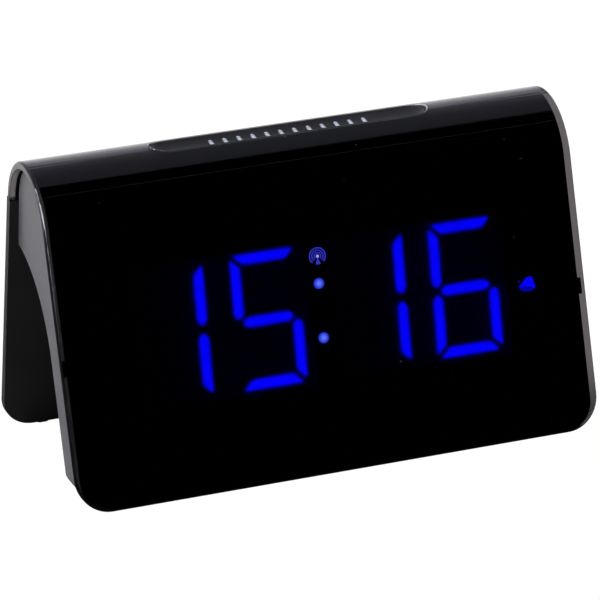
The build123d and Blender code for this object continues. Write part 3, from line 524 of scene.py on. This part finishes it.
# lit strokes with rounded tips
def makeDigits():
    piece = mergedCopy("lit_segments", "litDigits")
    bpy.ops.object.mode_set(mode="EDIT")
    bpy.ops.mesh.select_all(action="SELECT")
    bpy.ops.mesh.dissolve_limited(angle_limit=radians(digits["flat"]))
    bpy.ops.mesh.select_mode(type="EDGE")
    bpy.ops.mesh.select_all(action="DESELECT")
    bpy.ops.object.mode_set(mode="OBJECT")
    mesh = piece.data
    for edge in mesh.edges:
        way = mesh.vertices[edge.vertices[1]].co - mesh.vertices[edge.vertices[0]].co
        edge.select = abs(way.normalized().dot(faceBack)) > digits["straight"]
    bpy.ops.object.mode_set(mode="EDIT")
    bpy.ops.mesh.bevel(
        offset=digits["round"], offset_type="WIDTH", segments=digits["steps"], clamp_overlap=False
    )
    bpy.ops.mesh.select_mode(type="FACE")
    bpy.ops.mesh.select_all(action="DESELECT")
    bpy.ops.object.mode_set(mode="OBJECT")
    for face in mesh.polygons:
        face.select = face.normal.dot(faceOut) > digits["straight"]
    bpy.ops.object.mode_set(mode="EDIT")
    bpy.ops.mesh.inset(thickness=digits["soft"], use_individual=True)
    bpy.ops.object.mode_set(mode="OBJECT")
    inner = {i for face in mesh.polygons if face.select for i in face.vertices}
    markGlow(mesh, lambda i: float(i in inner))
    setFinish(piece, strokeGlow)
    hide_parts("lit_segments")
    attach(piece, "clock")


barTop = {"half": 0.00425, "dish": 0.0015, "ridge": 0.00025, "row": 0.025, "ink": 0.00004}


# pale tops on the finger ridges of the snooze bar
def makeBarMarks():
    low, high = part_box("snooze_bar")
    hollow = (barTop["half"] ** 2 + barTop["dish"] ** 2) / (2 * barTop["dish"])
    middleY = (low[1] + high[1]) / 2
    middleZ = high[2] - barTop["dish"] + hollow
    reach = hollow - barTop["ridge"] / 2
    piece = mergedCopy("snooze_bar", "barMarks")
    mesh = piece.data
    for face in mesh.polygons:
        corners = [mesh.vertices[i].co for i in face.vertices]
        aside = any(hypot(c.y - middleY, c.z - middleZ) > reach for c in corners)
        face.select = aside or abs(face.center.x) > barTop["row"]
    deleteChosen()
    applyModifier(piece, "SOLIDIFY", thickness=barTop["ink"], offset=1.0)
    setFinish(piece, paleInk)
    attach(piece, "snooze_bar")


heads = {"long": 1.15, "wide": 0.3, "deep": 0.0006}


# screws with a cross recess cut in each head
def makeScrews(nodeName, pieceName, axis):
    mergedCopy(nodeName, pieceName)
    bpy.ops.mesh.separate(type="LOOSE")
    screws = list(bpy.context.selected_objects)
    turn = axis.to_track_quat("Z", "Y").to_euler()
    for screw in screws:
        middle, rim = findTop(screw, axis)
        radius = max((c - middle).length for c in rim)
        long, wide, deep = heads["long"] * radius, heads["wide"] * radius, 2 * heads["deep"]
        for size in ((long, wide, deep), (wide, long, deep)):
            bpy.ops.object.select_all(action="DESELECT")
            bpy.ops.mesh.primitive_cube_add(size=1, location=middle, rotation=turn, scale=size)
            cutter = bpy.context.object
            applyModifier(screw, "BOOLEAN", object=cutter, operation="DIFFERENCE", solver="EXACT")
            bpy.data.objects.remove(cutter)
    piece = joinPieces(screws, pieceName)
    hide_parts(nodeName)
    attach(piece, "clock")


signs = {"line": 0.0005, "arm": 0.0011, "tall": 0.00012, "round": 0.00004, "steps": 2, "facing": 0.9}


# raised sign in the middle of a setting key
def makeSign(nodeName, pieceName, ways):
    middle = findTop(nodes[nodeName], legBack)[0]
    bpy.ops.object.select_all(action="DESELECT")
    bpy.ops.mesh.primitive_cube_add(size=1, scale=(signs["line"], signs["line"], signs["tall"]))
    piece = bpy.context.object
    piece.name = pieceName
    for way in ways:
        bpy.ops.object.mode_set(mode="EDIT")
        bpy.ops.mesh.select_mode(type="FACE")
        bpy.ops.mesh.select_all(action="DESELECT")
        bpy.ops.object.mode_set(mode="OBJECT")
        facing = [f for f in piece.data.polygons if f.normal.dot(way) > signs["facing"]]
        min(facing, key=lambda f: (f.center - way * f.center.dot(way)).length).select = True
        bpy.ops.object.mode_set(mode="EDIT")
        bpy.ops.mesh.extrude_region_move(TRANSFORM_OT_translate={"value": way * signs["arm"]})
        bpy.ops.object.mode_set(mode="OBJECT")
    piece.rotation_euler = (legLean - radians(90), 0, 0)
    piece.location = middle
    bpy.ops.object.transform_apply(location=True, rotation=True, scale=True)
    applyModifier(piece, "BEVEL", width=signs["round"], segments=signs["steps"], limit_method="ANGLE")
    setFinish(piece, paleInk)
    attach(piece, nodeName)


# turns a flat piece, drawn on the ground, upright along the face
def standAt(piece, spot):
    selectOnly(piece)
    piece.rotation_euler = (radians(90) - faceLean, 0, 0)
    piece.location = spot
    bpy.ops.object.transform_apply(location=True, rotation=True, scale=True)


# stands a flat piece on the face where a node has its front
def standOnFace(piece, nodeName, shift):
    points = [v.co for v in nodes[nodeName].data.vertices]
    across = (min(p.x for p in points) + max(p.x for p in points)) / 2
    up = max(p.dot(faceUp) for p in points)
    out = max(p.dot(faceOut) for p in points)
    spot = Vector((across + shift[0], 0, 0)) + faceUp * (up + shift[1]) + faceOut * out
    standAt(piece, spot)
    return spot


film = {
    "margin": 0.0009,
    "thick": 0.0002,
    "ahead": 0.0013,
    "rough": (0.43, 0.49),
    "grain": 2500.0,
    "ior": 1.45,
    "tint": (0.97, 0.97, 1.0),
}


def makeFilmFinish():
    finish, tree, body = startFinish("softFilm")
    body.inputs["Base Color"].default_value = (*film["tint"], 1)
    body.inputs["Transmission Weight"].default_value = 1.0
    body.inputs["IOR"].default_value = film["ior"]
    grained = useGroup(tree, grainGroup, Scale=film["grain"])
    tree.links.new(spreadRough(tree, grained.outputs["Height"], film["rough"]), body.inputs["Roughness"])
    return finish


filmFinish = makeFilmFinish()


# thin diffusing film over a pair of digits
def makeFilm(pieceName, side):
    low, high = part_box("colon_dots")
    middle = (low[0] + high[0]) / 2
    points = [v.co for n in ("lit_segments", "dark_segments") for v in nodes[n].data.vertices]
    points = [p for p in points if (p.x - middle) * side > 0]
    rows = [p.dot(faceUp) for p in points]
    foot, top = min(rows), max(rows)
    left, right = min(p.x for p in points), max(p.x for p in points)
    bpy.ops.object.select_all(action="DESELECT")
    bpy.ops.mesh.primitive_plane_add(size=1)
    piece = bpy.context.object
    piece.name = pieceName
    piece.scale = (right - left + 2 * film["margin"], top - foot + 2 * film["margin"], 1)
    bpy.ops.object.transform_apply(scale=True)
    applyModifier(piece, "SOLIDIFY", thickness=film["thick"], offset=0.0)
    front = max(p.dot(faceOut) for p in points) + film["ahead"]
    across = Vector(((left + right) / 2, 0, 0))
    standAt(piece, across + faceUp * (top + foot) / 2 + faceOut * front)
    setFinish(piece, filmFinish)
    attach(piece, "clock")


waves = {
    "radii": (0.00095, 0.0016, 0.00225),
    "line": 0.0003,
    "gap": 47,
    "steps": 72,
    "dot": 0.00042,
    "dotSteps": 24,
    "mast": (0.0007, 0.0018),
    "tall": 0.0001,
    "shift": (0.00025, -0.0021),
    "glow": {"pale": (0.3, 0.32, 1.0), "rim": (0.03, 0.035, 0.5), "span": (0.0004, 0.0008), "power": 9.0},
}


# radio sign: mast, dot and rings that are open below
def makeWaves():
    shapes = []
    for radius in waves["radii"]:
        outer = radius + waves["line"] / 2
        bpy.ops.object.select_all(action="DESELECT")
        bpy.ops.mesh.primitive_circle_add(vertices=waves["steps"], radius=outer)
        shapes.append(bpy.context.object)
        thin = 1 - waves["line"] / outer
        bpy.ops.object.mode_set(mode="EDIT")
        bpy.ops.mesh.select_mode(type="VERT")
        bpy.ops.mesh.select_all(action="SELECT")
        bpy.ops.mesh.extrude_region_move()
        bpy.ops.transform.resize(value=(thin, thin, 1), center_override=(0, 0, 0))
        bpy.ops.mesh.select_mode(type="FACE")
        bpy.ops.mesh.select_all(action="DESELECT")
        bpy.ops.object.mode_set(mode="OBJECT")
        for face in shapes[-1].data.polygons:
            face.select = Vector((0, -1, 0)).angle(face.center) < radians(waves["gap"])
        deleteChosen()
    half, tall = waves["mast"]
    mastMiddle = -waves["dot"] - tall / 2
    bpy.ops.mesh.primitive_circle_add(vertices=waves["dotSteps"], radius=waves["dot"], fill_type="NGON")
    shapes.append(bpy.context.object)
    bpy.ops.mesh.primitive_circle_add(
        vertices=4, radius=tall / 2, fill_type="NGON", location=(0, mastMiddle, 0)
    )
    mast = bpy.context.object
    bpy.ops.object.transform_apply(location=True)
    for point in mast.data.vertices:
        top = point.co.y > mastMiddle + tall / 4
        foot = point.co.y < mastMiddle - tall / 4
        side = 0.0 if top or foot else (half if point.co.x > 0 else -half)
        point.co.x = side
        point.co.y = mastMiddle + tall / 2 if top else mastMiddle - tall / 2
    piece = joinPieces(shapes + [mast], "radioWaves")
    applyModifier(piece, "SOLIDIFY", thickness=2 * waves["tall"], offset=0.0)
    middle = standOnFace(piece, "signal_sign", waves["shift"])
    setFinish(piece, spotFinish("litWaves", waves["glow"], [middle]))
    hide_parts("signal_sign")
    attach(piece, "clock")


bell = {
    "body": [(-2.5, -0.8), (-1.5, 0.2), (-0.8, 1.0), (0.2, 1.8), (1.0, 2.0), (1.8, 1.4),
             (2.1, 0.0), (2.2, -1.6), (1.2, -1.1), (-0.1, -0.8), (-1.4, -0.7)],
    "mouth": [(-2.4, -0.9), (-1.5, -1.7), (-0.2, -2.0), (1.2, -1.9), (2.1, -1.5), (1.2, -1.0), (-0.1, -0.7),
              (-1.4, -0.6)],
    "rim": [(-2.5, -0.8), (-1.6, -1.7), (-0.3, -2.1), (1.2, -2.0), (2.2, -1.6)],
    "tall": {"body": 0.05, "mouth": 0.03},
    "line": 0.14,
    "lineSteps": 2,
    "scale": 0.00094,
    "shift": (0.0, -0.0019),
    "glow": {"body": 1.0, "mouth": 0.3, "rim": 0.5},
}


# swinging bell: filled body, dim mouth and the thin lower rim of the mouth
def makeBell():
    shapes = []
    for label in ("body", "mouth", "rim"):
        closed = label in bell["tall"]
        path = bpy.data.curves.new(label, "CURVE")
        path.dimensions = "2D" if closed else "3D"
        path.fill_mode = "BOTH" if closed else "FULL"
        path.extrude = bell["tall"].get(label, 0.0)
        path.bevel_depth = 0.0 if closed else bell["line"]
        path.bevel_resolution = bell["lineSteps"]
        spline = path.splines.new("BEZIER")
        spline.use_cyclic_u = closed
        spline.bezier_points.add(len(bell[label]) - 1)
        for point, spot in zip(spline.bezier_points, bell[label]):
            point.co = (*spot, 0)
            point.handle_left_type = point.handle_right_type = "AUTO"
        shape = bpy.data.objects.new(label, path)
        scene.collection.objects.link(shape)
        shapes.append(shape)
    selectOnly(*shapes)
    bpy.ops.object.convert(target="MESH")
    for shape, value in zip(shapes, bell["glow"].values()):
        markGlow(shape.data, lambda i: value)
    piece = joinPieces(shapes, "swingBell")
    piece.scale = [bell["scale"]] * 3
    bpy.ops.object.transform_apply(scale=True)
    standOnFace(piece, "bell_sign", bell["shift"])
    setFinish(piece, strokeGlow)
    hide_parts("bell_sign")
    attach(piece, "clock")


makeCover()
# pale skin on the slot's rim: a painted highlight line
makeSlotSkin("slotRimHighlight", paintedRimHighlight, slotCut["rim"])
# dark skin over the slot's clear wall: painted shade
makeSlotSkin("slotWallShade", finishes["bar_black"], slotCut["wall"])
makeDigits()
makeFilm("leftFilm", -1)
makeFilm("rightFilm", 1)
makeWaves()
makeBell()
makeBarMarks()
makeScrews("leg_screws", "legScrewHeads", legBack)
makeScrews("case_screws", "caseScrewHeads", faceBack)
sideways = [Vector((1, 0, 0)), Vector((-1, 0, 0))]
makeSign("minus_key", "minusSign", sideways)
makeSign("plus_key", "plusSign", sideways + [Vector((0, 1, 0)), Vector((0, -1, 0))])
print("pieces modelled")


# floor, backdrop and lamps
stage = {
    "floor": 6.0,
    "drop": -0.0001,
    "matte": 0.85,
    "white": 0.93,
    "bright": 1.08,
    "sweep": (0.16, 0.3),
    "through": (-0.05, 0.02),
    "fill": 0.26,
    "edge": (-0.03, 0.03),
    "rise": (0.0, 0.6),
    "ceiling": 0.58,
    "slope": 0.17,
    "sky": (0.8, 0.83, 1.0),
    "side": (0.8, 0.9),
    "sideLow": (-0.12, 0.0),
    "sideHigh": (0.4, 0.55),
    "sideGlow": 18.0,
    "slit": -0.34,
    "slitHalf": 0.006,
    "slitGlow": 0.3,
}


def makeFloor():
    bpy.ops.object.select_all(action="DESELECT")
    bpy.ops.mesh.primitive_plane_add(size=stage["floor"], location=(0, 0, stage["drop"]))
    floor = bpy.context.object
    floor.name = "studioFloor"
    finish = bpy.data.materials.new("studioFloor")
    finish.use_nodes = True
    tree = finish.node_tree
    tree.nodes.clear()
    out = addNode(tree, "OutputMaterial")
    matte = addNode(tree, "BsdfDiffuse")
    matte.inputs["Color"].default_value = (*[stage["matte"]] * 3, 1)
    shine = addNode(tree, "Emission")
    path = addNode(tree, "LightPath")
    split = addNode(tree, "SeparateXYZ")
    tree.links.new(addNode(tree, "TexCoord").outputs["Object"], split.inputs["Vector"])
    behind = rampNode(tree, split.outputs["Y"], *stage["sweep"])  # mirrored white only behind
    under = rampNode(tree, split.outputs["Y"], *stage["through"])  # white seen through the sheet
    mirrored = mathNode(tree, "MULTIPLY", path.outputs["Is Glossy Ray"], behind)
    through = mathNode(tree, "MULTIPLY", path.outputs["Is Transmission Ray"], under)
    level = mathNode(tree, "MAXIMUM", mirrored, through)
    level = mathNode(tree, "MAXIMUM", path.outputs["Is Camera Ray"], level)
    rays = mathNode(tree, "MAXIMUM", path.outputs["Is Glossy Ray"], path.outputs["Is Transmission Ray"])
    seen = mathNode(tree, "MAXIMUM", path.outputs["Is Camera Ray"], rays)
    tree.links.new(mathNode(tree, "MULTIPLY", level, stage["bright"]), shine.inputs["Strength"])
    mix = addNode(tree, "MixShader")
    tree.links.new(mathNode(tree, "MULTIPLY", seen, stage["white"]), mix.inputs["Fac"])
    tree.links.new(matte.outputs[0], mix.inputs[1])
    tree.links.new(shine.outputs[0], mix.inputs[2])
    below = addNode(tree, "MixShader")  # clear when looked at from under the table
    tree.links.new(addNode(tree, "NewGeometry").outputs["Backfacing"], below.inputs["Fac"])
    tree.links.new(mix.outputs[0], below.inputs[1])
    tree.links.new(addNode(tree, "BsdfTransparent").outputs[0], below.inputs[2])
    tree.links.new(below.outputs[0], out.inputs["Surface"])
    floor.data.materials.append(finish)


def makeWorld():
    world = bpy.data.worlds.new("studioWorld")
    scene.world = world
    world.use_nodes = True
    tree = world.node_tree
    tree.nodes.clear()
    out = addNode(tree, "OutputWorld")
    place = addNode(tree, "TexCoord").outputs["Generated"]
    split = addNode(tree, "SeparateXYZ")
    tree.links.new(place, split.inputs["Vector"])
    behind = rampNode(tree, split.outputs["Y"], *stage["edge"])  # white sweep behind, dark room in front
    rise = rampNode(tree, split.outputs["Z"], *stage["rise"])
    sweep = mathNode(tree, "SUBTRACT", 1.0, mathNode(tree, "MULTIPLY", rise, stage["ceiling"]))
    slit = mathNode(tree, "COMPARE", split.outputs["Y"], stage["slit"])
    slit.node.inputs[2].default_value = stage["slitHalf"]
    slit = mathNode(tree, "MULTIPLY", slit, stage["slitGlow"])
    sweep = mathNode(tree, "SUBTRACT", sweep, mathNode(tree, "MULTIPLY", split.outputs["Z"], stage["slope"]))
    left = rampNode(tree, mathNode(tree, "MULTIPLY", split.outputs["X"], -1.0), *stage["side"])
    left = mathNode(tree, "MULTIPLY", left, rampNode(tree, split.outputs["Z"], *stage["sideLow"]))
    over = mathNode(tree, "SUBTRACT", 1.0, rampNode(tree, split.outputs["Z"], *stage["sideHigh"]))
    left = mathNode(tree, "MULTIPLY", left, over)  # tall window on the left
    room = mathNode(tree, "ADD", mathNode(tree, "MULTIPLY", behind, sweep), slit)
    room = mathNode(tree, "ADD", room, mathNode(tree, "MULTIPLY", left, stage["sideGlow"]))
    path = addNode(tree, "LightPath")
    mirrored = mathNode(tree, "MAXIMUM", path.outputs["Is Glossy Ray"], path.outputs["Is Transmission Ray"])
    seen = path.outputs["Is Camera Ray"]
    other = mathNode(tree, "SUBTRACT", 1.0, mathNode(tree, "MAXIMUM", seen, mirrored))
    level = mathNode(tree, "ADD", seen, mathNode(tree, "MULTIPLY", mirrored, room))
    level = mathNode(tree, "ADD", level, mathNode(tree, "MULTIPLY", other, stage["fill"]))
    shine = addNode(tree, "Background")
    tint = mathNode(tree, "MULTIPLY", mathNode(tree, "MAXIMUM", rise, left), mirrored)
    tree.links.new(mixTone(tree, tint, (1, 1, 1), stage["sky"]), shine.inputs["Color"])
    tree.links.new(level, shine.inputs["Strength"])
    tree.links.new(shine.outputs[0], out.inputs["Surface"])


lamps = {
    "leftPanel": {"spot": (-0.42, 0.62, 0.3), "aim": (-0.07, 0, 0.05), "size": (0.3, 0.5), "power": 4.5,
                  "tint": (0.98, 0.96, 1.0)},
    "topPanel": {"spot": (0.1, 0.25, 1.1), "aim": (0, 0, 0.03), "size": (0.9, 0.7), "power": 7.0,
                 "tint": (1.0, 1.0, 1.0)},
}


def makeLamps():
    for name, lamp in lamps.items():
        data = bpy.data.lights.new(name, "AREA")
        data.shape = "RECTANGLE"
        data.size, data.size_y = lamp["size"]
        data.energy = lamp["power"]
        data.color = lamp["tint"]
        holder = bpy.data.objects.new(name, data)
        scene.collection.objects.link(holder)
        holder.visible_glossy = False
        holder.visible_transmission = False
        spot = Vector(lamp["spot"])
        holder.location = spot
        holder.rotation_euler = (Vector(lamp["aim"]) - spot).to_track_quat("-Z", "Y").to_euler()


makeFloor()
makeWorld()
makeLamps()
scene.view_settings.view_transform = "Standard"
print("studio ready")

bpy.context.view_layer.update()
